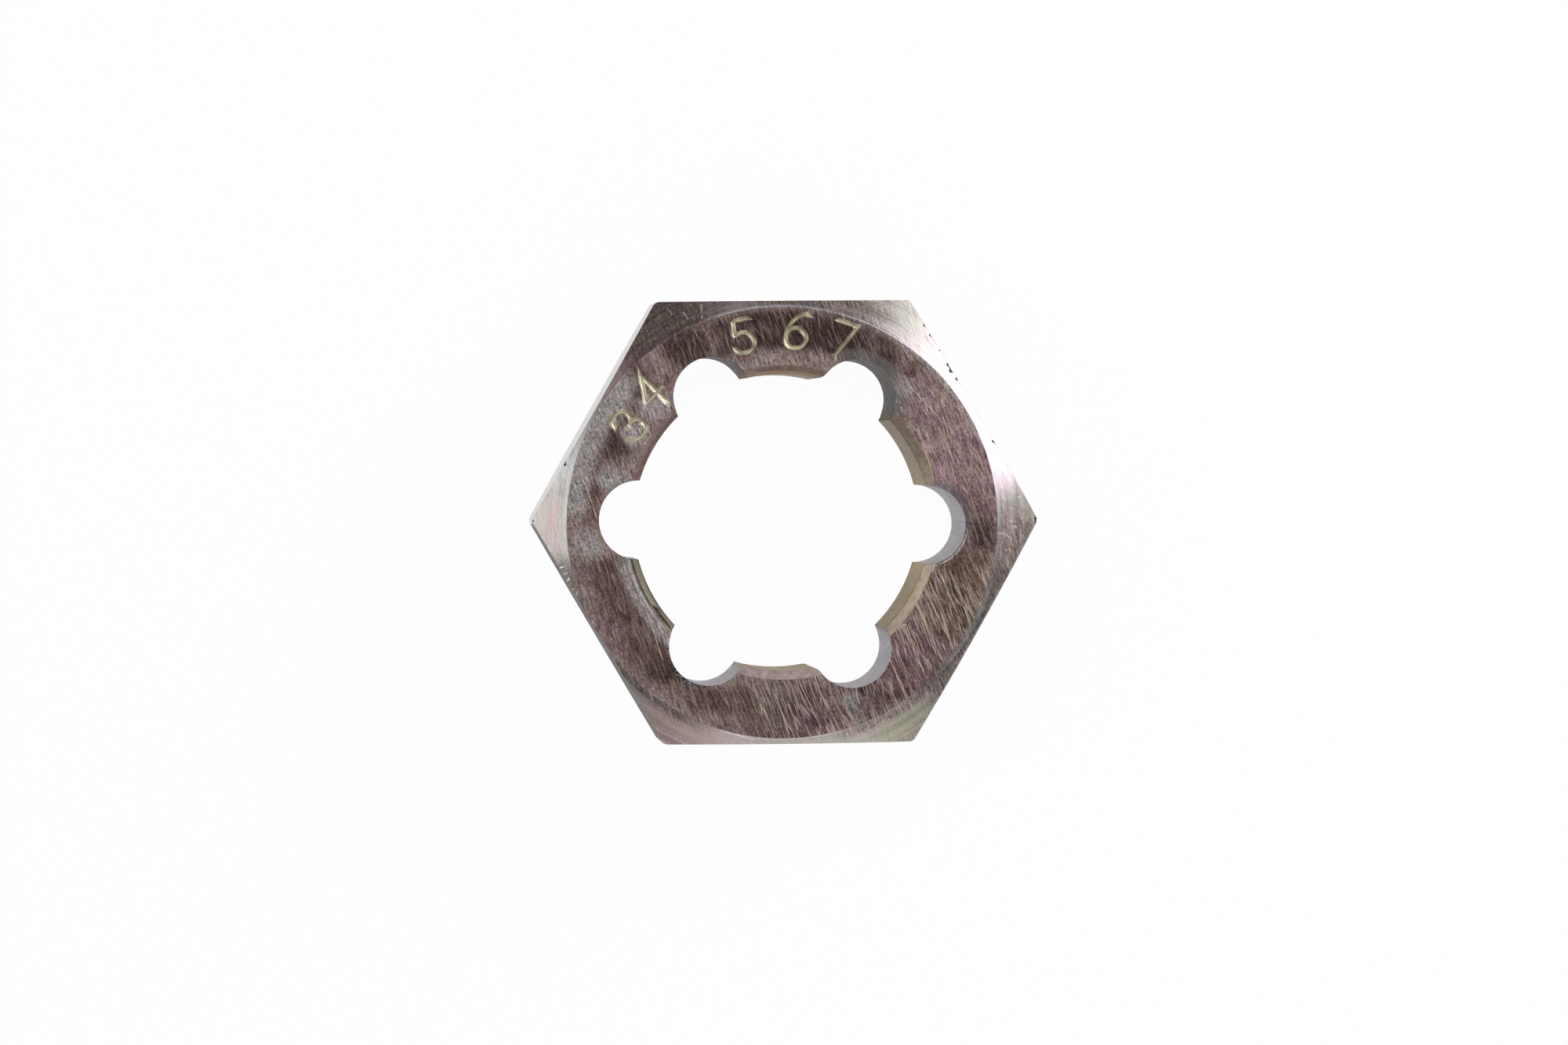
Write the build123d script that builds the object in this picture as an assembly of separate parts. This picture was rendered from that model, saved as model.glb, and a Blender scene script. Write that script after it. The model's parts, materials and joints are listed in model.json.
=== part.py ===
from build123d import *
import math
import os

# Rethreading die for a 22 mm thread of 1 mm pitch: one hexagonal block of tool steel.
# Millimetres. The origin is on the bore's axis in the bottom face, +Z runs up the bore, and the
# hexagon has two corners on the X axis. The thread itself is left to the finish, so the six
# cutting lands are smooth here, at the radius of the thread's crests.

# Hexagonal block. Its middle lies a little beside the bore's axis, along +X.
across_flats = 31.5
hexagon_shift = 0.25
thickness = 10.0
corner_radius = 0.5
short_flat_inset = 0.25
short_flat_direction = 210.0

# Turned chamfer that takes the hexagon's corners off, the same on both faces
face_diameter = 30.7
chamfer_angle = 30.0

# Threaded bore, up to the crests that the cutting lands present to the work
crest_diameter = 21.1
lead_in_depth = 0.6
lead_in_half_angle = 45.0

# Chip holes drilled along the bore, which part the thread into cutting lands
chip_hole_count = 6
chip_hole_diameter = 5.6
chip_hole_circle_diameter = 20.5
chip_hole_turn = -1.5

# Cutting edges that use has rounded: the chip hole that each one faces, and the side of it
worn_edge_radius = 0.7
worn_edges = [(1, 1), (5, -1)]

# Room by which a cutting shape runs past the face that it opens
overrun = 1.0


def polar(radius, angle):
    """Point at a radius and an angle in degrees about the bore."""
    turn = math.radians(angle)
    return Vector(radius * math.cos(turn), radius * math.sin(turn))


def chip_hole_angle(index):
    """Direction of a chip hole, seen from the bore's axis."""
    return chip_hole_turn + index * 360.0 / chip_hole_count


def hexagon_outline():
    """Six flats with rounded corners, one flat ground a little closer to the bore."""
    apothem = across_flats / 2
    middle = Vector(hexagon_shift, 0)
    short_flat_middle = middle + polar(apothem - short_flat_inset, short_flat_direction)
    with BuildSketch() as outline:
        with Locations(middle):
            RegularPolygon(radius=apothem, side_count=6, major_radius=False)
        with Locations(Location(short_flat_middle, (0, 0, short_flat_direction))):
            Rectangle(across_flats, 2 * across_flats, align=(Align.MIN, Align.CENTER), mode=Mode.SUBTRACT)
        fillet(outline.vertices(), corner_radius)
    return outline.sketch


def corner_cut():
    """Ring that turns the corners off the bottom face, under a cone rising outwards from its circle."""
    face_radius = face_diameter / 2
    reach = across_flats
    rise = (reach - face_radius) * math.tan(math.radians(chamfer_angle))
    with BuildPart() as ring:
        with BuildSketch(Plane.XZ):
            with BuildLine():
                Bezier((face_radius, 0), (reach, rise))
                Polyline((reach, rise), (reach, 0), (face_radius, 0))
            make_face()
        revolve(axis=Axis.Z)
    return ring.part


def bore_outline():
    """Crest circle joined with the chip holes, with the worn cutting edges rounded."""
    crest_radius = crest_diameter / 2
    hole_radius = chip_hole_diameter / 2
    centre_radius = chip_hole_circle_diameter / 2
    cosine = (centre_radius**2 + crest_radius**2 - hole_radius**2) / (2 * centre_radius * crest_radius)
    half_mouth = math.degrees(math.acos(cosine))
    with BuildSketch() as outline:
        Circle(crest_radius)
        for index in range(chip_hole_count):
            with Locations(polar(centre_radius, chip_hole_angle(index))):
                Circle(hole_radius)
        edges = []
        for index, side in worn_edges:
            corner = polar(crest_radius, chip_hole_angle(index) + side * half_mouth)
            edges.append(outline.vertices().sort_by_distance(corner)[0])
        fillet(edges, worn_edge_radius)
    return outline.sketch


def lead_in():
    """Cone that opens the cutting lands at a face, with its wide end up and its tip at z = 0."""
    small = crest_diameter / 2
    slope = math.tan(math.radians(lead_in_half_angle))
    height = lead_in_depth + overrun
    return Cone(small, small + height * slope, height, align=(Align.CENTER, Align.CENTER, Align.MIN))


def die_body():
    """The whole die, one solid."""
    blank = extrude(hexagon_outline(), thickness) - corner_cut()
    blank -= Pos(0, 0, thickness) * Rot(180, 0, 0) * corner_cut()
    bore = Pos(0, 0, -overrun) * extrude(bore_outline(), thickness + 2 * overrun)
    top_lead_in = Pos(0, 0, thickness - lead_in_depth) * lead_in()
    bottom_lead_in = Pos(0, 0, lead_in_depth) * Rot(180, 0, 0) * lead_in()
    return blank - bore - top_lead_in - bottom_lead_in


os.makedirs("parts", exist_ok=True)
body = die_body()
body.label = "die_body"
export_step(body, "parts/die_body.step")
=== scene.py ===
import bmesh
import bpy
import json
import math
from mathutils import Matrix, Vector, geometry, kdtree, noise


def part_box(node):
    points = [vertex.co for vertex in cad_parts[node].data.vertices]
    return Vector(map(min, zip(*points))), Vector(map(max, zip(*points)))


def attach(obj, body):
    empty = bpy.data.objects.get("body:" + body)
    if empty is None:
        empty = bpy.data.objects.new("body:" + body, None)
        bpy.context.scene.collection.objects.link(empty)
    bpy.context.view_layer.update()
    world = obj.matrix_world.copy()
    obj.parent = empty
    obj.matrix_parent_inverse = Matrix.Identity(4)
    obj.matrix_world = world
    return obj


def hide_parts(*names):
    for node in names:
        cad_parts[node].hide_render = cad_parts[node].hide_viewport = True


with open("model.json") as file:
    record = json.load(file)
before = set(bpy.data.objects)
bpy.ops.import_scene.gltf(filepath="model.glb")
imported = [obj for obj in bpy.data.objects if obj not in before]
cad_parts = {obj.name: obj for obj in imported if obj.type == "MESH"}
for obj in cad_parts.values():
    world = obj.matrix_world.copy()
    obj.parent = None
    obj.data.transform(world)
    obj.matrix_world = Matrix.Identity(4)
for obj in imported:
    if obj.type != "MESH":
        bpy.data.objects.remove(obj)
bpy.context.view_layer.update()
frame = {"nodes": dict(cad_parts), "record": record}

# The finish of the rethreading die. Shapes are worked out in millimetres and scaled to metres last.
# Angles are in degrees about the bore's axis, anticlockwise from +X as seen from above.
MM = 0.001

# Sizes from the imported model
node_low, node_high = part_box("die_body")
thickness = (node_high.z - node_low.z) / MM
across_flats = (node_high.y - node_low.y) / MM
bore_mount = next(mount for mount in frame["record"]["mounts"] if mount["name"] == "thread_bore")
crest_radius = bore_mount["dims"]["r_mm"]

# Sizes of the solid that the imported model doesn't state
hexagon_shift = 0.25
face_radius = 15.35
chamfer_angle = 30.0
lead_in_radius = 11.15
lead_in_depth = 0.6
chip_hole_count = 6
chip_hole_turn = -1.5
chip_hole_radius = 2.8
chip_hole_circle_radius = 10.25

# Thread, with sloping flanks and a narrow flat at the root
pitch = 1.0
root_radius = 11.0
root_flat = pitch / 8
flank_angle = 30.0
rod_core_radius = 10.3
rod_columns = 96
rod_overrun = 1.5

# Height by which the whole thread is shifted, so that it leaves the lower right lead-in whole
thread_phase = -0.31

# Edge rounding that the finish adds to the sharp solid
edge_round = 0.07
edge_round_steps = 2
sharp_edge = 20.0
coplanar = 0.3
weld = 0.0005

# Angle between facets from which the shading breaks, and the most that a facet may lean from the exact
# surface that it follows and still be shaded as that surface
smooth_angle = 28.0
facet_play = 6.0

# Stamped numerals: single strokes, upright on a circle and pressed into the top face
numeral_height = 2.4
numeral_width = 0.62
stroke_width = 0.46
stroke_depth = 0.16
stroke_fullness = 1.6
stroke_step = 0.07
stroke_offsets = [-0.38, -0.3, -0.23, -0.15, -0.07, 0.0, 0.07, 0.15, 0.23, 0.3, 0.38]
face_grid = 0.9
merge_gap = 1e-5

# Limits that tell the surfaces apart: upward share of a facet's direction, and distances
level_upward = 0.99
chamfer_upward = 0.6
lead_in_upward = (0.6, 0.8)
pressed_upward = 0.3
pressed_depth = 0.3
rim_margin = 0.2
wall_play = 0.08
lead_in_play = 0.05


def polar(radius, angle, height=0.0):
    """Point at a radius, an angle in degrees and a height."""
    turn = math.radians(angle)
    return Vector((radius * math.cos(turn), radius * math.sin(turn), height))


chip_hole_centres = [polar(chip_hole_circle_radius, chip_hole_turn + 360 * index / chip_hole_count)
                     for index in range(chip_hole_count)]


def linear(red, green, blue):
    """Colour of a screen value from 0 to 255, as the shader takes it."""
    values = []
    for part in (red, green, blue):
        share = part / 255
        if share <= 0.04045:
            values.append(share / 12.92)
        else:
            values.append(((share + 0.055) / 1.055) ** 2.4)
    return (*values, 1.0)


# Meshes

# Marks that cutting leaves on the facets it makes, as slot numbers until the die is dressed
uncut, chipped, threaded = range(3)


def object_from(work, name, mark=uncut):
    """New object from a bmesh, which is freed. Its facets carry a mark."""
    for face in work.faces:
        face.material_index = mark
    mesh = bpy.data.meshes.new(name)
    work.to_mesh(mesh)
    work.free()
    for _ in (uncut, chipped, threaded):
        mesh.materials.append(None)
    made = bpy.data.objects.new(name, mesh)
    bpy.context.scene.collection.objects.link(made)
    return made


def cut_away(target, cutter):
    """Takes the cutter's closed shape out of the target, and deletes the cutter."""
    step = target.modifiers.new("cut", "BOOLEAN")
    step.operation = "DIFFERENCE"
    step.solver = "EXACT"
    step.object = cutter
    bpy.context.view_layer.update()
    graph = bpy.context.evaluated_depsgraph_get()
    cut = bpy.data.meshes.new_from_object(target.evaluated_get(graph))
    target.modifiers.remove(step)
    target.data = cut
    bpy.data.objects.remove(cutter)


def rounded_blank():
    """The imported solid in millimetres, with its flat facets joined and its sharp edges rounded."""
    work = bmesh.new()
    work.from_mesh(frame["nodes"]["die_body"].data)
    work.transform(Matrix.Scale(1 / MM, 4))
    bmesh.ops.remove_doubles(work, verts=work.verts, dist=weld)
    bmesh.ops.dissolve_limit(work, angle_limit=math.radians(coplanar), verts=work.verts, edges=work.edges)
    sharp = [edge for edge in work.edges if edge.calc_face_angle(0) > math.radians(sharp_edge)]
    bmesh.ops.bevel(work, geom=sharp, offset=edge_round, segments=edge_round_steps, profile=0.5,
                    affect="EDGES", clamp_overlap=True)
    return object_from(work, "threaded_die")


def thread_rod():
    """Rod whose helical ridge cuts the thread: rows that climb one pitch a turn, closed at both ends."""
    core_width = root_flat + 2 * (root_radius - rod_core_radius) * math.tan(math.radians(flank_angle))
    profile = [(rod_core_radius, -core_width / 2), (root_radius, -root_flat / 2),
               (root_radius, root_flat / 2), (rod_core_radius, core_width / 2)]
    turns = math.ceil((thickness + 2 * rod_overrun) / pitch)
    rows = len(profile) * turns
    work = bmesh.new()

    def vertex(row, column):
        radius, rise = profile[row % len(profile)]
        height = (row // len(profile) + column / rod_columns) * pitch + rise - rod_overrun + thread_phase
        return work.verts.new(polar(radius, 360 * column / rod_columns, height))

    grid = [[vertex(row, column) for column in range(rod_columns)] for row in range(rows + 1)]
    seam = [grid[row][0] for row in range(rows + 1)]
    seam += [vertex(row, 0) for row in range(rows + 1, rows + len(profile) + 1)]
    for row in range(rows + 1):
        grid[row].append(seam[row + len(profile)])
    for low_row, high_row in zip(grid, grid[1:]):
        for column in range(rod_columns):
            work.faces.new([low_row[column], low_row[column + 1], high_row[column + 1], high_row[column]])
    bottom_loop = grid[0] + [seam[3], seam[2], seam[1]]
    top_loop = grid[-1] + [seam[rows + 3], seam[rows + 2], seam[rows + 1]]
    for loop in (bottom_loop, top_loop):
        middle = work.verts.new((0, 0, sum(corner.co.z for corner in loop) / len(loop)))
        for here, there in zip(loop, loop[1:] + loop[:1]):
            work.faces.new([middle, here, there])
    bmesh.ops.recalc_face_normals(work, faces=work.faces)
    return object_from(work, "thread_rod", threaded)


# Nicks and chips

# On the outer edge: the flat's direction, the place along the flat from its middle, and the nick's size
edge_nicks = [(30, 7.0, 0.2), (30, 6.2, 0.18), (30, 5.0, 0.24), (30, 3.5, 0.42), (30, 2.5, 0.26),
              (30, -2.6, 0.18), (30, -4.6, 0.18), (90, 4.9, 0.2), (90, -7.4, 0.2), (150, 4.0, 0.2),
              (210, -6.3, 0.3), (210, -5.3, 0.26), (210, -4.1, 0.26), (270, 2.2, 0.2), (330, 4.4, 0.2),
              (330, -6.8, 0.22)]

# On the chip holes' top rims: the hole's direction, the direction about its own axis, and the size
rim_nicks = [(-121.5, -176, 0.2), (-121.5, -162, 0.12), (-121.5, -150, 0.26), (-121.5, -141, 0.2),
             (-121.5, -133, 0.34), (-121.5, -125, 0.26), (-121.5, -117, 0.3), (-121.5, -108, 0.24),
             (-121.5, -99, 0.16)]

# On the corners of the hexagon: direction and size
corner_nicks = [(-0.3, 0.22), (0.9, 0.16), (179.6, 0.24), (181.2, 0.2), (240.0, 0.16)]
corner_inset = 0.08

# How rough a chip is, the waves across its size, and where its middle lies, as shares of its size
chip_roughness = 0.9
chip_waves = 1.1
edge_chip_out = 0.45
edge_chip_up = 0.2
rim_chip_down = 0.1

# Steps through the noise from one chip to the next, and the first numbers on the rims and the corners
chip_steps = (3.7, 1.3, 2.1)
first_rim_chip = 40
first_corner_chip = 80


def edge_height(radius):
    """Height of the top chamfer at a radius."""
    return thickness - max(0.0, radius - face_radius) * math.tan(math.radians(chamfer_angle))


def chip(place, size, seed):
    """Closed ragged lump that knocks a chip out of an edge."""
    work = bmesh.new()
    bmesh.ops.create_icosphere(work, subdivisions=3, radius=size)
    shift = Vector([seed * step for step in chip_steps])
    for vert in work.verts:
        vert.co *= 1 + chip_roughness * noise.noise(vert.co * chip_waves / size + shift)
    bmesh.ops.translate(work, verts=work.verts, vec=place)
    return object_from(work, "chip", chipped)


def knock_chips(die):
    """Takes the nicks out of the outer edge, the rims and the corners."""
    apothem = across_flats / 2
    middle = Vector((hexagon_shift, 0, 0))
    for seed, (direction, along, size) in enumerate(edge_nicks):
        place = middle + polar(apothem + edge_chip_out * size, direction) + polar(along, direction + 90)
        place.z = edge_height(place.xy.length) + edge_chip_up * size
        cut_away(die, chip(place, size, seed))
    for seed, (hole, direction, size) in enumerate(rim_nicks):
        place = polar(chip_hole_circle_radius, hole) + polar(chip_hole_radius, direction)
        place.z = thickness - rim_chip_down * size
        cut_away(die, chip(place, size, first_rim_chip + seed))
    corner_radius = apothem / math.cos(math.radians(30)) - corner_inset
    for seed, (direction, size) in enumerate(corner_nicks):
        place = middle + polar(corner_radius, direction)
        place.z = edge_height(place.xy.length) + edge_chip_up * size
        cut_away(die, chip(place, size, first_corner_chip + seed))


# Numerals, as strokes in a box one unit high

def arc(centre, radii, start, end, steps=16):
    """Points along part of an ellipse."""
    angles = [math.radians(start + (end - start) * step / steps) for step in range(steps + 1)]
    return [(centre[0] + radii[0] * math.cos(a), centre[1] + radii[1] * math.sin(a)) for a in angles]


def numeral_strokes():
    """Each numeral's strokes, all as open or closed lines."""
    three = arc((0.29, 0.75), (0.27, 0.25), 155, -90) + arc((0.29, 0.26), (0.31, 0.26), 80, -155)
    four = [(0.46, 0.0), (0.46, 1.0), (0.0, 0.3), (0.62, 0.3)]
    five = [(0.56, 1.0), (0.1, 1.0), (0.06, 0.56)] + arc((0.29, 0.31), (0.31, 0.31), 130, -150)
    six = arc((0.66, 0.28), (0.64, 0.74), 100, 180) + arc((0.32, 0.3), (0.3, 0.3), 180, 540, 28)
    seven = [(0.0, 1.0), (0.6, 1.0), (0.22, 0.0)]
    return {"3": [three], "4": [four], "5": [five], "6": [six], "7": [seven]}


# A plain run of numerals: the direction and the radius of each one's middle
numerals = [("3", 147.0, 12.9), ("4", 135.0, 13.3), ("5", 101.5, 13.5), ("6", 85.5, 13.6), ("7", 71.0, 13.7)]


def placed_strokes():
    """The numerals' strokes in millimetres on the top face, each numeral square to its own direction."""
    strokes_of = numeral_strokes()
    placed = []
    for name, angle, radius in numerals:
        outward = polar(1.0, angle)
        along = polar(1.0, angle - 90)
        for stroke in strokes_of[name]:
            placed.append([outward * (radius + (y - 0.5) * numeral_height)
                           + along * (x - numeral_width / 2) * numeral_height for x, y in stroke])
    return placed


def sampled(line, step):
    """Points along a line at even steps, each with its direction."""
    points = []
    for here, there in zip(line, line[1:]):
        run = there - here
        count = max(1, math.ceil(run.length / step))
        points += [(here + run * part / count, run.normalized()) for part in range(count)]
    points.append((line[-1], (line[-1] - line[-2]).normalized()))
    return points


def relief_depth(distance):
    """How far a stroke presses the face down at a distance from its middle line."""
    share = min(1.0, distance / (stroke_width / 2))
    return stroke_depth * (1 - share ** stroke_fullness)


def on_face(point, margin):
    """True for a point of the top face that keeps clear of its outer circle, lead-ins and chip holes."""
    radius = math.hypot(point.x, point.y)
    if not lead_in_radius + margin < radius < face_radius - margin:
        return False
    for centre in chip_hole_centres:
        if math.hypot(point.x - centre.x, point.y - centre.y) < chip_hole_radius + margin:
            return False
    return True


def inside(point, borders, corners):
    """True for a point with an odd number of borders above it."""
    crossings = 0
    for start, end in borders:
        a, b = corners[start], corners[end]
        if (a.x > point.x) != (b.x > point.x):
            crossings += a.y + (b.y - a.y) * (point.x - a.x) / (b.x - a.x) > point.y
    return crossings % 2 == 1


def press_numerals(die):
    """Gives the top face a fine net along the strokes, and presses it down there."""
    work = bmesh.new()
    work.from_mesh(die.data)
    top = [face for face in work.faces
           if face.normal.z > 0.9999 and abs(face.calc_center_median().z - thickness) < weld]
    rim = [edge for edge in {edge for face in top for edge in face.edges}
           if sum(face in top for face in edge.link_faces) == 1]
    bmesh.ops.delete(work, geom=top, context="FACES")
    rim_verts = list({vert for edge in rim for vert in edge.verts})
    number = {vert: index for index, vert in enumerate(rim_verts)}
    borders = [(number[edge.verts[0]], number[edge.verts[1]]) for edge in rim]

    strokes = placed_strokes()
    samples = [sample for stroke in strokes for sample in sampled(stroke, stroke_step)]
    near_stroke = kdtree.KDTree(len(samples))
    for index, (point, _) in enumerate(samples):
        near_stroke.insert(point, index)
    near_stroke.balance()

    points = [vert.co.xy for vert in rim_verts]
    for point, direction in samples:
        sideways = Vector((-direction.y, direction.x, 0))
        points += [(point + sideways * offset).xy for offset in stroke_offsets]
    cells = math.ceil(face_radius / face_grid)
    for row in range(-cells, cells + 1):
        for column in range(-cells, cells + 1):
            point = Vector((column * face_grid, row * face_grid, 0))
            if near_stroke.find(point)[2] > stroke_width:
                points.append(point.xy)
    rim_count = len(rim_verts)
    free_points = [point for point in points[rim_count:] if on_face(point, edge_round + stroke_step)]
    points = points[:rim_count] + free_points
    spots, _, triangles, sources, _, _ = geometry.delaunay_2d_cdt(points, borders, [], 0, merge_gap, True)
    corners = []
    for spot, source in zip(spots, sources):
        if min(source) < rim_count:
            corners.append(rim_verts[min(source)])
            continue
        distance = near_stroke.find(Vector((spot.x, spot.y, 0)))[2]
        corners.append(work.verts.new((spot.x, spot.y, thickness - relief_depth(distance))))
    for triangle in triangles:
        on_rim = all(min(sources[corner]) < rim_count for corner in triangle)
        middle = sum((spots[corner] for corner in triangle), Vector((0, 0))) / 3
        if not on_rim or inside(middle, borders, points):
            work.faces.new([corners[corner] for corner in triangle])
    bmesh.ops.recalc_face_normals(work, faces=work.faces)
    work.to_mesh(die.data)
    work.free()


# Materials

# Direction of most scratches
scratch_direction = 110


class Paint:
    """A material and short ways to add nodes to it. Places are in millimetres in the part's frame."""

    def __init__(self, name):
        self.material = bpy.data.materials.new(name)
        self.material.use_nodes = True
        self.tree = self.material.node_tree
        self.tree.nodes.clear()
        coordinates = self.add("ShaderNodeTexCoord")
        self.place = self.moved(coordinates.outputs["Object"], scale=(1 / MM, 1 / MM, 1 / MM))
        parts = self.add("ShaderNodeSeparateXYZ", {0: self.place})
        self.x, self.y, self.z = parts.outputs
        flat = self.moved(self.place, scale=(1, 1, 0))
        self.radius = self.add("ShaderNodeVectorMath", {0: flat}, operation="LENGTH").outputs["Value"]
        self.angle = self.math("ARCTAN2", self.y, self.x)

    def add(self, kind, inputs=None, **settings):
        """New node with its settings, and its inputs as values or as other nodes' sockets."""
        node = self.tree.nodes.new(kind)
        for name, value in settings.items():
            setattr(node, name, value)
        for key, value in (inputs or {}).items():
            if isinstance(value, bpy.types.NodeSocket):
                self.tree.links.new(value, node.inputs[key])
            else:
                node.inputs[key].default_value = value
        return node

    def math(self, operation, *values, clamp=False):
        """Result of a sum on numbers or sockets."""
        node = self.add("ShaderNodeMath", dict(enumerate(values)), operation=operation, use_clamp=clamp)
        return node.outputs[0]

    def moved(self, vector, scale=(1, 1, 1), turn=0.0, move=(0, 0, 0)):
        """Coordinates scaled, then turned about Z, then moved."""
        inputs = {"Vector": vector, "Scale": scale, "Rotation": (0, 0, math.radians(turn)), "Location": move}
        return self.add("ShaderNodeMapping", inputs).outputs[0]

    def joined(self, x, y, z=0.0):
        """Vector of three numbers or sockets."""
        return self.add("ShaderNodeCombineXYZ", {0: x, 1: y, 2: z}).outputs[0]

    def noise(self, vector, scale, detail=3.0, roughness=0.55):
        """Noise from 0 to 1 with so many waves a unit."""
        inputs = {"Vector": vector, "Scale": scale, "Detail": detail, "Roughness": roughness}
        return self.add("ShaderNodeTexNoise", inputs).outputs[0]

    def remap(self, value, low, high, start=0.0, end=1.0, smooth=True):
        """Value taken from one range to another, and held at its ends."""
        kind = "SMOOTHSTEP" if smooth else "LINEAR"
        inputs = {"Value": value, "From Min": low, "From Max": high, "To Min": start, "To Max": end}
        return self.add("ShaderNodeMapRange", inputs, interpolation_type=kind).outputs[0]

    def blend(self, share, first, second, how="MIX"):
        """Second colour over the first by a share."""
        node = self.add("ShaderNodeMix", {0: share, 6: first, 7: second}, data_type="RGBA", blend_type=how)
        return node.outputs[2]

    def ramp(self, value, stops):
        """Colour along a row of stops, each a place from 0 to 1 and a colour."""
        node = self.add("ShaderNodeValToRGB", {0: value})
        elements = node.color_ramp.elements
        while len(elements) < len(stops):
            elements.new(1.0)
        for element, (place, colour) in zip(elements, stops):
            element.position = place
            element.color = colour
        return node.outputs[0]

    def levelled(self, colour, level):
        """Colour made darker or lighter by a number."""
        return self.add("ShaderNodeVectorMath", {0: colour, "Scale": level}, operation="SCALE").outputs[0]

    def patch(self, x, y, reach, ragged=0.35):
        """Soft round patch about a place on the face, with a ragged edge."""
        spot = self.moved(self.place, scale=(1, 1, 0))
        gap = self.add("ShaderNodeVectorMath", {0: spot, 1: (x, y, 0)}, operation="DISTANCE")
        wobble = self.math("SUBTRACT", self.noise(self.place, 0.35, 4.0), 0.5)
        gap = self.math("MULTIPLY_ADD", wobble, 2 * ragged * reach, gap.outputs["Value"])
        return self.remap(gap, reach, 0.35 * reach)

    def scratches(self, direction, length, width, share, seed):
        """Separate tapering scratches in one direction: how deep each is, and a random number for each."""
        turned = self.moved(self.place, turn=-direction)
        cells = self.moved(turned, scale=(1 / length, 1 / width, 0), move=(seed, 1.7 * seed, 0))
        voronoi = self.add("ShaderNodeTexVoronoi", {"Vector": cells, "Scale": 1.0}, voronoi_dimensions="2D")
        draw = self.add("ShaderNodeSeparateColor", {0: voronoi.outputs["Color"]})
        reach = self.remap(draw.outputs[0], 1 - share, 1.0, 0.001, 0.42, smooth=False)
        gap = self.math("DIVIDE", voronoi.outputs["Distance"], reach)
        depth = self.math("SUBTRACT", 1.0, gap, clamp=True)
        return depth, draw.outputs[1]

    def line(self, start, end, width):
        """Soft straight line between two places on the face."""
        along = Vector(end) - Vector(start)
        spot = self.moved(self.place, scale=(1, 1, 0), move=(-start[0], -start[1], 0))
        reach = self.add("ShaderNodeVectorMath", {0: spot, 1: (*along, 0)}, operation="DOT_PRODUCT")
        share = self.math("DIVIDE", reach.outputs["Value"], along.length_squared, clamp=True)
        foot = self.add("ShaderNodeVectorMath", {0: (*along, 0), "Scale": share}, operation="SCALE")
        gap = self.add("ShaderNodeVectorMath", {0: spot, 1: foot.outputs[0]}, operation="DISTANCE")
        return self.remap(gap.outputs["Value"], width / 2, width / 6)

    def band(self, value, low, high, soft):
        """1 between two values, and 0 beyond them."""
        return self.math("MULTIPLY", self.remap(value, low - soft, low + soft),
                         self.remap(value, high + soft, high - soft))

    def sector(self, start, end, soft=4.0):
        """1 between two directions about the bore."""
        return self.band(self.angle, math.radians(start), math.radians(end), math.radians(soft))

    def ring(self, inner, outer, soft, start, end):
        """Part of a ring about the bore, between two radii and two directions."""
        return self.math("MULTIPLY", self.band(self.radius, inner, outer, soft), self.sector(start, end))

    def hole_rim(self, hole, reach, width, start, end):
        """Soft line beside a chip hole's rim, between two directions about the hole's own axis."""
        centre = polar(chip_hole_circle_radius, hole)
        spot = self.moved(self.place, scale=(1, 1, 0), move=(-centre.x, -centre.y, 0))
        parts = self.add("ShaderNodeSeparateXYZ", {0: spot}).outputs
        gap = self.add("ShaderNodeVectorMath", {0: spot}, operation="LENGTH").outputs["Value"]
        turn = self.math("ARCTAN2", parts[1], parts[0])
        near = self.band(gap, reach - width / 2, reach + width / 2, width / 4)
        return self.math("MULTIPLY", near, self.band(turn, math.radians(start), math.radians(end), 0.15))

    def lengthwise(self, along, across):
        """Coordinates drawn out in the direction of most scratches."""
        return self.moved(self.moved(self.place, turn=-scratch_direction), scale=(along, across, 1))

    def round_bore(self, across, along):
        """Coordinates that change quickly away from the bore and slowly around it."""
        return self.joined(self.math("MULTIPLY", self.radius, across), self.math("MULTIPLY", self.x, along),
                           self.math("MULTIPLY", self.y, along))

    def most(self, values):
        """Largest of several masks."""
        largest = values[0]
        for value in values[1:]:
            largest = self.math("MAXIMUM", largest, value)
        return largest

    def finish(self, colour, roughness, height=None, metallic=1.0):
        """Ends the material in metal, or matt where it has little, with its bump's height in millimetres."""
        shader = self.add("ShaderNodeBsdfPrincipled", {"Base Color": colour, "Metallic": metallic,
                                                       "Roughness": roughness, "Specular IOR Level": 0.0})
        if height is not None:
            bump = self.add("ShaderNodeBump", {"Height": height, "Strength": 1.0, "Distance": MM})
            self.tree.links.new(bump.outputs[0], shader.inputs["Normal"])
        output = self.add("ShaderNodeOutputMaterial")
        self.tree.links.new(shader.outputs[0], output.inputs["Surface"])
        return self.material


# Places on the ground face that use has marked, each with x, y and reach
dark_stains = [(-11.9, 5.6, 2.0), (-10.3, 9.8, 1.6), (-6.8, 12.6, 2.4), (-8.6, -10.2, 1.6), (7.2, 12.0, 1.8),
               (14.2, -1.0, 1.6)]
grey_rubs = [(-9.2, 8.4, 1.4), (-10.4, 6.4, 1.2), (-12.4, 3.2, 1.4), (4.8, -12.8, 1.1), (8.6, 9.4, 1.1),
             (-13.9, -1.6, 1.8), (7.6, 9.6, 1.2), (-11.9, 8.9, 2.0)]

# Dark smears on the ground face: both ends, and width
dark_smears = [((-12.6, -3.6), (-9.0, -9.2), 3.6), ((-6.4, -12.4), (0.6, -13.0), 2.4),
               ((12.1, -3.4), (12.9, -7.2), 1.4), ((5.6, -11.8), (8.6, -12.2), 1.6),
               ((1.6, -12.0), (2.2, -14.4), 0.9)]

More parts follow.
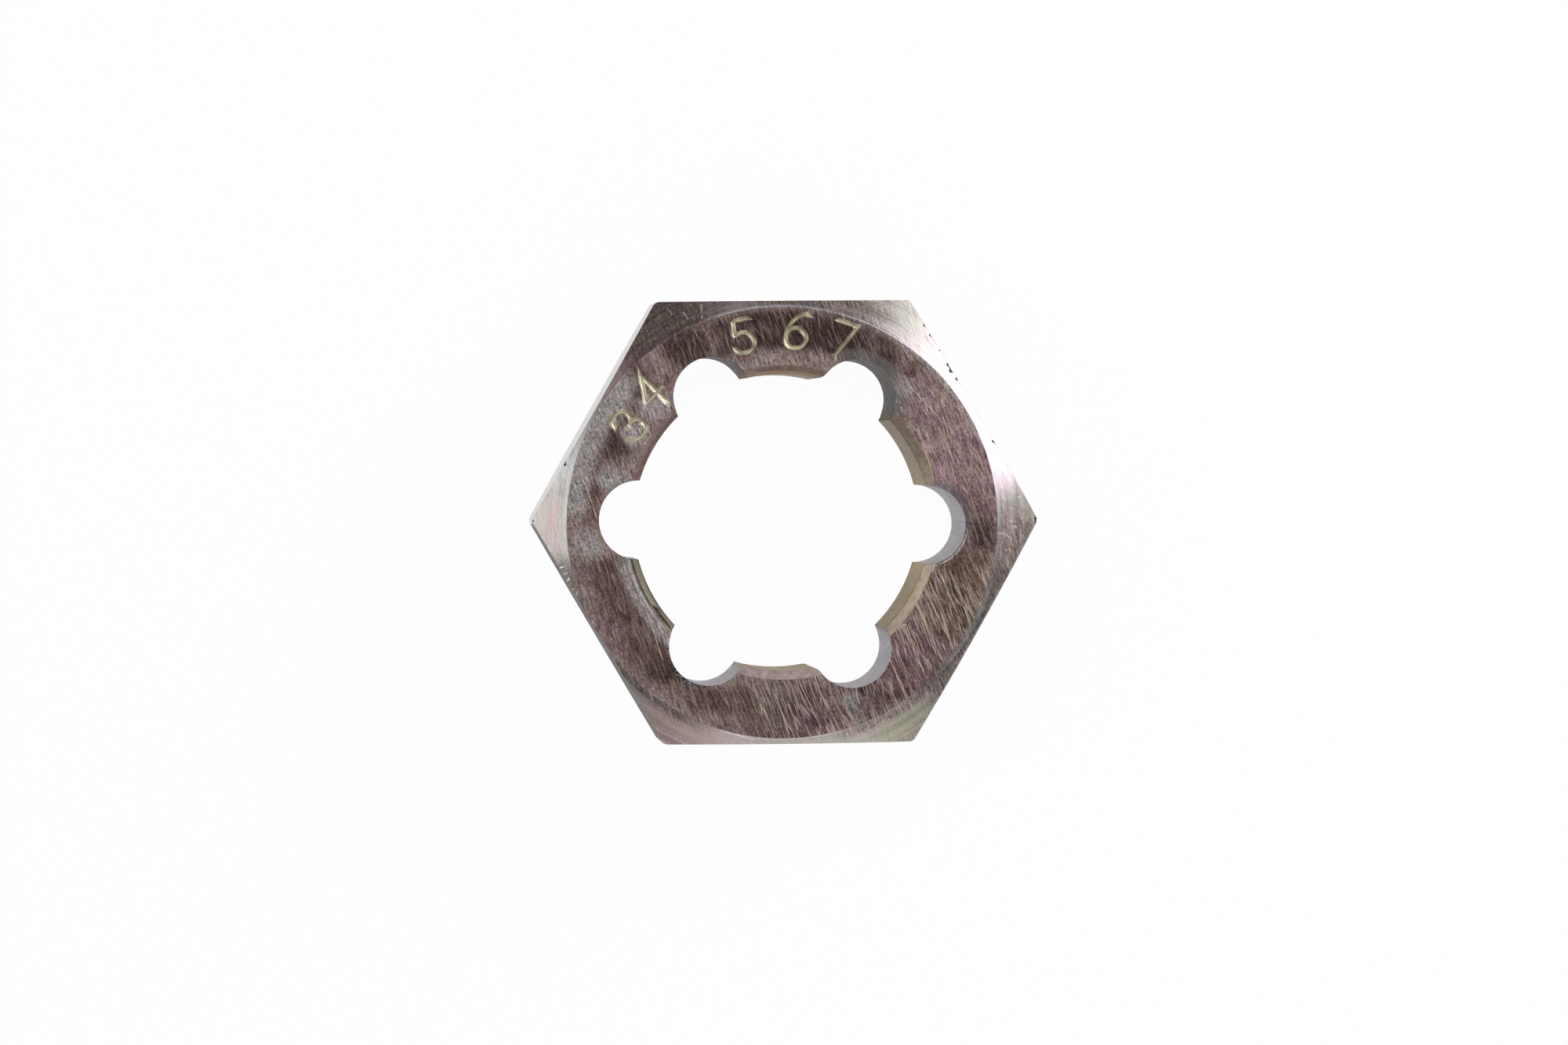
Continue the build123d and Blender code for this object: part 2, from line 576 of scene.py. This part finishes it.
# Rows of scratches on the worn faces: direction, length, width, share of places that have one, and seed
scratch_rows = [(109.5, 3.6, 0.11, 0.75, 3.1), (111.5, 2.4, 0.09, 0.8, 11.3), (113.0, 5.0, 0.14, 0.45, 23.9),
                (107.5, 6.0, 0.18, 0.25, 31.7), (99.0, 2.4, 0.16, 0.25, 47.3), (126.0, 2.0, 0.18, 0.2, 59.9)]

# Long scratches that stand out by themselves, pale as bare metal and as painted glint: both ends, and width
long_scratches = [((9.85, -4.25), (12.1, -9.1), 0.13), ((10.7, -2.6), (12.8, -7.5), 0.12),
                  ((9.3, -5.4), (11.2, -9.8), 0.13), ((12.2, -4.6), (14.0, -7.6), 0.12),
                  ((8.4, -7.3), (10.2, -11.2), 0.12), ((6.9, -8.3), (8.7, -12.6), 0.1),
                  ((7.4, -9.4), (8.9, -12.8), 0.1), ((2.2, -11.4), (4.0, -14.8), 0.12),
                  ((2.9, -11.3), (4.7, -14.9), 0.1), ((3.6, -11.6), (5.2, -14.5), 0.1),
                  ((1.2, -11.6), (2.6, -14.6), 0.1), ((-1.7, -12.4), (-0.8, -14.9), 0.1),
                  ((-0.6, -12.2), (0.3, -15.0), 0.12), ((0.3, -12.9), (1.0, -14.8), 0.1),
                  ((9.4, 9.3), (11.0, 7.6), 0.1), ((11.5, 7.4), (12.1, 5.5), 0.1),
                  ((9.6, 6.9), (10.7, 3.4), 0.11), ((-9.65, -6.4), (-8.6, -9.7), 0.12),
                  ((-14.0, 3.0), (-13.2, 0.4), 0.1), ((-12.6, 2.2), (-11.9, 0.4), 0.1),
                  ((-11.9, 10.5), (-11.5, 9.8), 0.14), ((-12.6, 9.9), (-12.3, 9.3), 0.12)]

# Scratches on the chamfer, and white marks on the face, told in the same way
chamfer_scratches = [((-5.6, 15.5), (-5.6, 15.0), 0.13), ((-5.6, 14.7), (-5.6, 14.5), 0.13),
                     ((-8.0, 15.3), (-7.7, 14.8), 0.1), ((-6.9, 15.0), (-6.6, 14.5), 0.08),
                     ((-15.9, -3.1), (-15.6, -3.0), 0.12), ((-15.7, -3.6), (-15.3, -3.4), 0.14),
                     ((-15.4, -4.2), (-15.2, -3.8), 0.16), ((-15.3, -4.7), (-14.9, -4.6), 0.14),
                     ((-14.8, -5.1), (-14.6, -4.8), 0.16), ((-14.9, -5.6), (-14.5, -5.5), 0.12),
                     ((15.5, -0.9), (15.8, -0.95), 0.2), ((15.9, -1.0), (16.2, -1.2), 0.14),
                     ((16.3, 0.9), (16.6, 0.8), 0.14), ((15.8, 1.6), (16.0, 1.5), 0.14),
                     ((16.6, -0.4), (16.8, -0.5), 0.14), ((16.9, 1.6), (17.1, 1.7), 0.1),
                     ((-4.6, -14.7), (-2.2, -15.4), 0.1)]
white_marks = [((8.2, -7.6), (8.6, -7.35), 0.26), ((10.62, -3.55), (10.8, -3.1), 0.24),
               ((7.9, 8.9), (8.15, 8.5), 0.2), ((8.5, 8.1), (8.6, 7.8), 0.16)]


def worn_grain(paint, colour):
    """Colour with the fine uneven grain of worn metal, drawn out along the scratches, and that grain."""
    lengthwise = paint.lengthwise(1.1, 7.0)
    streaks = paint.noise(lengthwise, 1.0, 3.0, 0.7)
    speckle = paint.noise(paint.place, 5.0, 3.0, 0.7)
    level = paint.math("MULTIPLY", paint.remap(streaks, 0.3, 0.7, 0.42, 1.68, smooth=False),
                       paint.remap(speckle, 0.3, 0.7, 0.45, 1.62, smooth=False))
    hue = paint.noise(paint.moved(lengthwise, move=(31, 17, 5)), 0.7, 3.0)
    tint = paint.ramp(hue, [(0.36, linear(255, 238, 244)), (0.5, linear(250, 249, 247)),
                            (0.64, linear(252, 250, 232))])
    return paint.levelled(paint.blend(1.0, colour, tint, "MULTIPLY"), level), streaks


def worn_scratches(paint, colour, strength):
    """Colour with the rows of fine scratches drawn over it in pale colours, partly bare metal and partly
    painted glint, and how deep they lie.
    """
    depth = 0.0
    for direction, length, width, share, seed in scratch_rows:
        here, draw = paint.scratches(direction, length, width, share, seed)
        bright = paint.ramp(draw, [(0.0, linear(216, 176, 186)), (0.6, linear(214, 194, 188)),
                                   (1.0, linear(214, 200, 164))])
        share_here = paint.math("MULTIPLY", paint.remap(here, 0.05, 0.7), strength)
        colour = paint.blend(paint.math("MULTIPLY", share_here, 0.9), colour, bright)
        depth = paint.math("MULTIPLY_ADD", here, 0.004, depth)
    return colour, depth


def ground_face():
    """Ground and stained face: brown in its middle, greyer at its rims, with grain, steep scratches, and
    painted sheen and highlights by its rims.
    """
    paint = Paint("ground_face")
    stain = paint.noise(paint.place, 0.5, 5.0, 0.62)
    from_middle = paint.math("ABSOLUTE", paint.math("SUBTRACT", paint.radius, 13.5))
    shade = paint.math("MULTIPLY_ADD", paint.remap(from_middle, 0.6, 2.2), 0.12, stain)
    colour = paint.ramp(shade, [(0.4, linear(114, 93, 92)), (0.52, linear(134, 115, 113)),
                                (0.7, linear(156, 143, 141))])

    def over(mask, share, shade_here):
        return paint.blend(paint.math("MULTIPLY", mask, share), colour, shade_here)

    colour = over(paint.patch(13.5, 5.4, 6.5), 0.5, linear(164, 132, 142))
    colour = over(paint.patch(8.8, -10.0, 3.6), 0.45, linear(136, 98, 112))
    colour = over(paint.patch(12.6, -5.4, 4.6), 0.4, linear(136, 118, 94))
    colour = over(paint.patch(2.4, -14.0, 3.0), 0.4, linear(136, 104, 116))
    dark = paint.most([paint.patch(x, y, reach, 0.6) for x, y, reach in dark_stains]
                      + [paint.ring(12.4, 15.1, 0.4, 62, 111)])
    colour = over(dark, 0.9, linear(72, 58, 55))
    colour = over(paint.ring(12.4, 15.1, 0.4, 66, 100), 0.35, linear(44, 35, 33))
    smear = paint.math("MULTIPLY", paint.most([paint.line(*smear) for smear in dark_smears]),
                       paint.remap(paint.noise(paint.lengthwise(0.5, 2.5), 1.0), 0.35, 0.6, 0.2, 1.0))
    colour = over(smear, 0.8, linear(84, 67, 64))
    # Grey rubs, with a painted sheen near the rim at the upper left and a painted highlight along the rim at
    # the upper right
    grey = paint.most([paint.patch(x, y, reach, 0.6) for x, y, reach in grey_rubs]
                      + [paint.ring(14.0, 15.6, 0.5, 136, 178), paint.ring(11.0, 12.0, 0.3, -168, -131),
                         paint.ring(15.1, 15.6, 0.2, 20, 60)])
    colour = over(grey, 0.8, linear(168, 166, 166))
    strong = paint.most([paint.patch(11.5, -7.5, 8.0), paint.patch(3.0, -13.5, 8.0)])
    colour = paint.levelled(colour, paint.remap(strong, 0.0, 1.0, 1.0, 0.78))
    colour, streaks = worn_grain(paint, colour)
    colour = over(paint.hole_rim(-1.5, 3.05, 0.5, -10, 80), 0.6, linear(112, 110, 116))
    colour = over(paint.hole_rim(58.5, 3.1, 0.8, -70, 120), 0.7, linear(112, 109, 108))

    scratched = paint.math("MAXIMUM", strong, paint.math("MULTIPLY", paint.patch(12.8, 5.0, 6.5), 0.6))
    colour, depth = worn_scratches(paint, colour, paint.remap(scratched, 0.0, 1.0, 0.3, 1.0))
    long_lines = paint.most([paint.line(*scratch) for scratch in long_scratches])
    broken = paint.remap(paint.noise(paint.place, 1.6, 2.0), 0.3, 0.55, 0.25, 0.85)
    # Long scratches drawn pale: bare metal and painted glint
    colour = over(paint.math("MULTIPLY", long_lines, broken), 0.9, linear(222, 200, 178))
    # Painted highlights along the rim of the lower left lead-in and of the chip hole on the right, drawn
    # white with the white marks
    rim_highlights = [paint.ring(11.22, 11.34, 0.05, -166, -137), paint.hole_rim(-1.5, 2.94, 0.1, -70, -8)]
    white = paint.most([paint.line(*mark) for mark in white_marks] + rim_highlights)
    colour = over(paint.math("MULTIPLY", white, broken), 0.9, linear(222, 220, 222))
    colour = over(paint.line((12.9, -0.1), (14.1, -0.3), 0.1), 0.8, linear(50, 44, 44))

    recess = paint.band(paint.z, thickness - 1.0, thickness - 0.065, 0.035)
    worn = paint.remap(paint.noise(paint.place, 1.2, 3.0), 0.35, 0.6, 0.4, 0.9)
    colour = over(paint.math("MULTIPLY", recess, worn), 1.0, linear(196, 190, 160))
    height = paint.math("SUBTRACT", paint.math("MULTIPLY", streaks, 0.004), depth)
    return paint.finish(colour, paint.remap(streaks, 0.3, 0.7, 0.3, 0.42), height)


def turned_chamfer():
    """Turned chamfer, with rings left by the tool, a weak rainbow film, scuffs like the face's, and painted
    shade and highlights.
    """
    paint = Paint("turned_chamfer")
    rings = paint.noise(paint.round_bore(5.0, 0.1), 1.0, 4.0, 0.7)
    film = paint.noise(paint.round_bore(1.5, 0.12), 0.8, 3.0)
    colour = paint.ramp(film, [(0.34, linear(178, 162, 167)), (0.46, linear(174, 164, 163)),
                               (0.56, linear(170, 168, 158)), (0.68, linear(162, 156, 156))])

    def over(mask, share, shade_here):
        return paint.blend(paint.math("MULTIPLY", mask, share), colour, shade_here)

    colour = over(paint.patch(11.5, 11.5, 7.0), 0.7, linear(158, 149, 153))
    colour = over(paint.patch(-7.8, -15.6, 4.6), 0.8, linear(184, 160, 158))
    colour = over(paint.patch(8.6, -15.4, 3.4), 0.6, linear(166, 164, 140))
    # Painted shade: the chamfer at the upper left is painted dark
    northwest_shade = paint.patch(-8.4, 13.9, 5.6)
    colour = over(northwest_shade, 0.9, linear(98, 86, 83))
    colour = over(paint.line((-13.3, 8.3), (-10.6, 11.6), 0.5), 0.5, linear(176, 126, 144))
    # Painted highlights on the chamfer by its left and right corners
    colour = over(paint.patch(-16.6, 0.0, 3.4, 0.2), 0.8, linear(174, 170, 164))
    colour = over(paint.patch(-15.2, 4.6, 2.8, 0.2), 0.9, linear(190, 190, 189))
    colour = over(paint.patch(16.2, 3.6, 2.4, 0.3), 0.8, linear(208, 193, 201))
    colour = over(paint.patch(-15.6, -4.0, 2.4), 0.7, linear(132, 128, 123))
    west = paint.math("MULTIPLY", paint.remap(paint.x, -14.5, -15.5), paint.band(paint.y, -1.8, 1.4, 1.2))
    pink = paint.math("MULTIPLY", paint.band(paint.radius, 15.9, 16.6, 0.15), west)
    stripes = paint.remap(paint.noise(paint.round_bore(9.0, 0.3), 1.0, 2.0), 0.42, 0.56)
    pink = paint.math("MULTIPLY", pink, stripes)
    colour = over(pink, 0.6, linear(192, 150, 163))
    colour = over(paint.patch(9.4, 14.6, 2.0), 0.6, linear(158, 160, 150))
    # More painted shade at the top of the chamfer, next to the upper left
    colour = over(paint.patch(-5.0, 15.3, 2.4), 0.5, linear(108, 98, 97))
    # Scuffed places, painted darker and given scratches; on the lower right of the chamfer this dark is
    # painted shade
    scuffed_and_shaded = paint.most([paint.patch(2.0, 15.6, 7.0), paint.ring(15.0, 19.0, 0.3, -50, -9),
                       paint.ring(15.0, 19.0, 0.3, -169, -135), paint.ring(15.0, 15.8, 0.2, -140, -112),
                       paint.ring(15.0, 16.0, 0.3, -75, -45), paint.patch(16.8, -1.2, 2.8, 0.5)])
    colour = over(scuffed_and_shaded, 0.8, linear(110, 100, 100))
    colour = over(paint.patch(16.8, -1.2, 2.8, 0.4), 0.85, linear(166, 152, 150))
    # Painted highlight by the right corner
    colour = over(paint.patch(17.5, 0.9, 1.2), 0.7, linear(184, 186, 174))
    grained, streaks = worn_grain(paint, colour)
    rough_places = paint.math("MAXIMUM", scuffed_and_shaded, northwest_shade)
    colour = paint.blend(paint.remap(rough_places, 0.0, 1.0, 0.15, 0.9), colour, grained)
    colour = paint.levelled(colour, paint.remap(rings, 0.3, 0.7, 0.72, 1.28, smooth=False))
    colour, depth = worn_scratches(paint, colour, paint.math("MULTIPLY", scuffed_and_shaded, 0.45))
    # Painted highlight along the rounded rim between the face and the chamfer, broken up by noise
    edge = paint.most([paint.ring(face_radius - 0.1, face_radius + 0.24, 0.08, -42, 16),
                       paint.ring(face_radius - 0.1, face_radius + 0.12, 0.08, 64, 108),
                       paint.ring(face_radius - 0.1, face_radius + 0.2, 0.08, 150, 179)])
    broken = paint.remap(paint.noise(paint.place, 1.8, 3.0), 0.35, 0.6, 0.3, 1.0)
    colour = over(paint.math("MULTIPLY", edge, broken), 0.6, linear(186, 188, 193))
    # Painted highlight along the rounded outer edge at the lower right
    colour = over(paint.math("MULTIPLY", paint.line((18.4, 0.0), (9.35, -15.75), 0.3), broken), 0.7,
                  linear(186, 186, 188))
    marks = paint.most([paint.line(*scratch) for scratch in chamfer_scratches])
    colour = over(paint.math("MULTIPLY", marks, broken), 0.85, linear(232, 226, 226))
    height = paint.math("SUBTRACT", paint.math("MULTIPLY", rings, 0.012), depth)
    return paint.finish(colour, paint.remap(rings, 0.3, 0.7, 0.24, 0.38), height)


def hexagon_flat():
    """Milled flats with fine marks along them, painted highlight at the upper left, darker and matt at the
    lower left.
    """
    paint = Paint("hexagon_flat")
    marks = paint.noise(paint.moved(paint.place, scale=(0.25, 0.25, 9)), 1.0, 3.0, 0.65)
    film = paint.noise(paint.moved(paint.place, move=(9, 4, 2)), 0.25, 4.0)
    colour = paint.ramp(film, [(0.3, linear(168, 157, 158)), (0.5, linear(176, 170, 166)),
                               (0.7, linear(172, 167, 153))])
    speckle = paint.noise(paint.place, 2.8, 4.0, 0.72)
    level = paint.math("MULTIPLY", paint.remap(marks, 0.28, 0.72, 0.8, 1.2, smooth=False),
                       paint.remap(speckle, 0.28, 0.72, 0.84, 1.16, smooth=False))
    uneven = paint.remap(paint.noise(paint.place, 0.45, 5.0, 0.65), 0.25, 0.75, 0.75, 1.0, smooth=False)
    # Painted highlight: the flat at the upper left is painted lighter, in uneven patches
    bright = paint.math("MULTIPLY", paint.sector(119.3, 181, 0.4), uneven)
    colour = paint.blend(paint.math("MULTIPLY", bright, 0.7), colour, linear(206, 201, 201))
    # The flat at the lower left is darker, rougher and matt, in uneven patches
    lower_left_dark = paint.math("MULTIPLY", paint.sector(-181, -119.3, 0.4), uneven)
    colour = paint.blend(paint.math("MULTIPLY", lower_left_dark, 0.85), colour, linear(92, 91, 95))
    colour = paint.levelled(colour, level)
    pits = paint.remap(paint.noise(paint.place, 3.2, 2.0, 0.6), 0.66, 0.74)
    colour = paint.blend(paint.math("MULTIPLY", pits, 0.5), colour, linear(92, 84, 80))
    roughness = paint.math("MULTIPLY_ADD", lower_left_dark, 0.14, paint.remap(marks, 0.3, 0.7, 0.2, 0.3))
    metallic = paint.math("MULTIPLY_ADD", lower_left_dark, -0.85, 1.0)
    return paint.finish(colour, roughness, paint.math("MULTIPLY", marks, 0.006), metallic)


def chip_hole():
    """Drilled wall of a chip hole: mottled lilac grey, stained brown and darker in the upper holes."""
    paint = Paint("chip_hole")
    rings = paint.noise(paint.moved(paint.place, scale=(1.2, 1.2, 3.5)), 1.0, 4.0, 0.65)
    cloud = paint.noise(paint.moved(paint.place, scale=(1, 1, 0.12)), 1.8, 4.0, 0.7)
    colour = paint.ramp(rings, [(0.3, linear(108, 104, 111)), (0.7, linear(152, 146, 154))])
    stained = paint.remap(paint.y, 1.6, 5.5)
    colour = paint.blend(paint.math("MULTIPLY", stained, 0.95), colour, linear(64, 57, 54))
    colour = paint.levelled(colour, paint.remap(cloud, 0.3, 0.7, 0.7, 1.3, smooth=False))
    fine = paint.noise(paint.moved(paint.place, scale=(1, 1, 0.3)), 5.0, 3.0, 0.7)
    colour = paint.levelled(colour, paint.remap(fine, 0.3, 0.7, 0.82, 1.18, smooth=False))
    roughness = paint.math("MULTIPLY_ADD", stained, 0.16, paint.remap(rings, 0.3, 0.7, 0.38, 0.48))
    return paint.finish(colour, roughness, paint.math("MULTIPLY", rings, 0.008))


def broken_edge():
    """Rough metal where a chip is knocked out, painted dark as the shade inside the nick."""
    paint = Paint("broken_edge")
    grit = paint.noise(paint.place, 6.0, 3.0, 0.7)
    colour = paint.ramp(grit, [(0.35, linear(54, 50, 50)), (0.65, linear(128, 123, 124))])
    return paint.finish(colour, 0.5, paint.math("MULTIPLY", grit, 0.02))


# Tempering colours of the cutting lands, by direction: that of the lead-in, and that of the thread. The
# lead-ins' colours also hold painted reflection, which makes some of them near white
land_tints_and_reflections = [(-151.5, linear(106, 102, 100), linear(88, 85, 70)),
              (-91.5, linear(255, 228, 226), linear(168, 152, 124)),
              (-31.5, linear(255, 230, 207), linear(148, 128, 94)),
              (28.5, linear(179, 162, 148), linear(152, 137, 116)),
              (88.5, linear(162, 138, 126), linear(138, 118, 101)),
              (148.5, linear(214, 187, 191), linear(150, 124, 119))]


def land_colour(paint, which):
    """Colour of the land here, mottled."""
    turn = paint.remap(paint.angle, -math.pi, math.pi, smooth=False)
    colour = paint.ramp(turn, [(tints[0] / 360 + 0.5, tints[which]) for tints in land_tints_and_reflections])
    mottle = paint.noise(paint.place, 2.2, 3.0, 0.6)
    return paint.levelled(colour, paint.remap(mottle, 0.3, 0.7, 0.82, 1.18, smooth=False)), mottle


def threaded_land():
    """Threads of the cutting lands in olive and straw tempering colours."""
    paint = Paint("threaded_land")
    colour, mottle = land_colour(paint, 2)
    return paint.finish(colour, paint.remap(mottle, 0.3, 0.7, 0.3, 0.44))


def lead_in():
    """Cone that opens each land, with its own tempering colour and painted reflection on every land."""
    paint = Paint("lead_in")
    colour, mottle = land_colour(paint, 1)
    return paint.finish(colour, paint.remap(mottle, 0.3, 0.7, 0.28, 0.4))


# Order of the material slots
zones = [ground_face, turned_chamfer, hexagon_flat, chip_hole, threaded_land, lead_in, broken_edge]


def zone_of(polygon):
    """Which surface of the die a facet belongs to, from its mark, its place and the way that it faces."""
    place = polygon.center
    radius = math.hypot(place.x, place.y)
    upward = abs(polygon.normal.z)
    if polygon.material_index == chipped:
        return broken_edge
    if polygon.material_index == threaded:
        return threaded_land
    pressed = place.z > thickness - pressed_depth and polygon.normal.z > pressed_upward
    between_rims = lead_in_radius + rim_margin < radius < face_radius - rim_margin
    if upward > level_upward or (pressed and between_rims):
        return ground_face
    if radius > face_radius - rim_margin:
        return turned_chamfer if upward > chamfer_upward else hexagon_flat
    for centre in chip_hole_centres:
        gap = math.hypot(place.x - centre.x, place.y - centre.y)
        if abs(gap - chip_hole_radius) < wall_play and radius > crest_radius:
            return chip_hole
    near_face = min(place.z, thickness - place.z) < lead_in_depth + lead_in_play
    if near_face and lead_in_upward[0] < upward < lead_in_upward[1]:
        return lead_in
    return threaded_land


def dress(die):
    """Gives each facet its zone's material, and smooths the shading between sharp edges."""
    chosen = [zones.index(zone_of(polygon)) for polygon in die.data.polygons]
    die.data.materials.clear()
    for zone in zones:
        die.data.materials.append(zone())
    for polygon, slot in zip(die.data.polygons, chosen):
        polygon.material_index = slot
        polygon.use_smooth = True
    die.data.set_sharp_from_angle(angle=math.radians(smooth_angle))
    slots_at = {}
    for polygon in die.data.polygons:
        for key in polygon.edge_keys:
            slots_at.setdefault(key, set()).add(zones[polygon.material_index])
    for edge in die.data.edges:
        around = slots_at[edge.key]
        if broken_edge in around and len(around) > 1:
            edge.use_edge_sharp = True


def true_normal(zone, facet, place):
    """Way that a zone's exact surface faces at a place of a facet, or None for a zone of free form."""
    up = Vector((0, 0, math.copysign(1.0, facet.z)))
    outward = Vector((place.x, place.y, 0)).normalized()
    if zone is ground_face:
        return up
    if zone is turned_chamfer:
        slope = math.radians(chamfer_angle)
        return outward * math.sin(slope) + up * math.cos(slope)
    if zone is lead_in:
        return (up - outward).normalized()
    if zone is hexagon_flat:
        turn = math.degrees(math.atan2(facet.y, facet.x))
        return polar(1.0, 60 * round((turn - 30) / 60) + 30)
    if zone is chip_hole:
        foot = Vector((place.x, place.y, 0))
        return (min(chip_hole_centres, key=lambda centre: (centre - foot).length) - foot).normalized()
    return None


def shade_truly(die):
    """Shades the facets that follow an exact surface as that surface, whatever the cuts did to them."""
    mesh = die.data
    normals = [Vector((0, 0, 0))] * len(mesh.loops)
    for polygon in mesh.polygons:
        zone = zones[polygon.material_index]
        for corner in polygon.loop_indices:
            place = mesh.vertices[mesh.loops[corner].vertex_index].co
            normal = true_normal(zone, polygon.normal, place)
            if normal is not None and polygon.normal.angle(normal, 0.0) < math.radians(facet_play):
                normals[corner] = normal
    mesh.normals_split_custom_set(normals)


die = rounded_blank()
knock_chips(die)
cut_away(die, thread_rod())
press_numerals(die)
dress(die)
shade_truly(die)
die.data.transform(Matrix.Scale(MM, 4))

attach(die, "root")
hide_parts("die_body")


# Stage

# Sizes in metres, and shades as shares of plain white
floor_reach = 3.0
floor_gap = 0.00002
floor_glow = 0.97
floor_white = 0.9
world_grey = 0.45

# Camera at the photo's angle: its lens and place in millimetres, and its turn in degrees
camera_lens = 144.54
sensor_width = 36.0
camera_place = (-32.757, 5.360, 455.729)
camera_turn = (-0.651, -4.221, -0.499)


def lamp(name, azimuth, elevation, distance, width, height, radiance):
    """Soft area lamp that shines at the die from a direction, bright enough to look like its radiance."""
    data = bpy.data.lights.new(name, "AREA")
    data.shape = "RECTANGLE"
    data.size = width
    data.size_y = height
    data.energy = radiance * math.pi * width * height
    made = bpy.data.objects.new(name, data)
    bpy.context.scene.collection.objects.link(made)
    level = math.cos(math.radians(elevation))
    made.location = Vector((level * math.cos(math.radians(azimuth)), level * math.sin(math.radians(azimuth)),
                            math.sin(math.radians(elevation)))) * distance
    made.rotation_euler = made.location.to_track_quat("Z", "Y").to_euler()
    return made


lamp("key_lamp", 32.0, 32.0, 0.5, 0.34, 0.34, 3.8)
lamp("west_lamp", 178.0, 32.0, 0.5, 0.26, 0.3, 1.3)
lamp("south_lamp", 280.0, 32.0, 0.5, 0.4, 0.3, 0.8)
lamp("fill_lamp", 100.0, 62.0, 0.5, 0.3, 0.3, 1.2)

world = bpy.data.worlds.new("studio")
bpy.context.scene.world = world
world.use_nodes = True
world.node_tree.nodes["Background"].inputs["Color"].default_value = (world_grey, world_grey, world_grey, 1)


def floor_paint():
    """Matt white that takes the shadow, and shows nearly plain white to the camera and in the metal."""
    material = bpy.data.materials.new("floor_paint")
    material.use_nodes = True
    nodes = material.node_tree.nodes
    links = material.node_tree.links
    nodes.clear()
    path = nodes.new("ShaderNodeLightPath")
    seen = path.outputs["Is Camera Ray"]
    for ray in ("Is Glossy Ray", "Is Transmission Ray"):
        either = nodes.new("ShaderNodeMath")
        either.operation = "MAXIMUM"
        links.new(seen, either.inputs[0])
        links.new(path.outputs[ray], either.inputs[1])
        seen = either.outputs[0]
    share = nodes.new("ShaderNodeMath")
    share.operation = "MULTIPLY"
    share.inputs[1].default_value = floor_glow
    links.new(seen, share.inputs[0])
    matt = nodes.new("ShaderNodeBsdfDiffuse")
    matt.inputs["Color"].default_value = (floor_white, floor_white, floor_white, 1)
    glow = nodes.new("ShaderNodeEmission")
    mix = nodes.new("ShaderNodeMixShader")
    links.new(share.outputs[0], mix.inputs[0])
    links.new(matt.outputs[0], mix.inputs[1])
    links.new(glow.outputs[0], mix.inputs[2])
    output = nodes.new("ShaderNodeOutputMaterial")
    links.new(mix.outputs[0], output.inputs["Surface"])
    return material


floor_work = bmesh.new()
bmesh.ops.create_grid(floor_work, x_segments=1, y_segments=1, size=floor_reach)
floor = object_from(floor_work, "floor")
floor.location.z = -floor_gap
floor.data.materials.clear()
floor.data.materials.append(floor_paint())

camera_data = bpy.data.cameras.new("camera")
camera_data.lens = camera_lens
camera_data.sensor_width = sensor_width
camera = bpy.data.objects.new("camera", camera_data)
bpy.context.scene.collection.objects.link(camera)
camera.location = Vector(camera_place) * MM
camera.rotation_euler = [math.radians(turn) for turn in camera_turn]
bpy.context.scene.camera = camera
bpy.context.scene.view_settings.view_transform = "Standard"
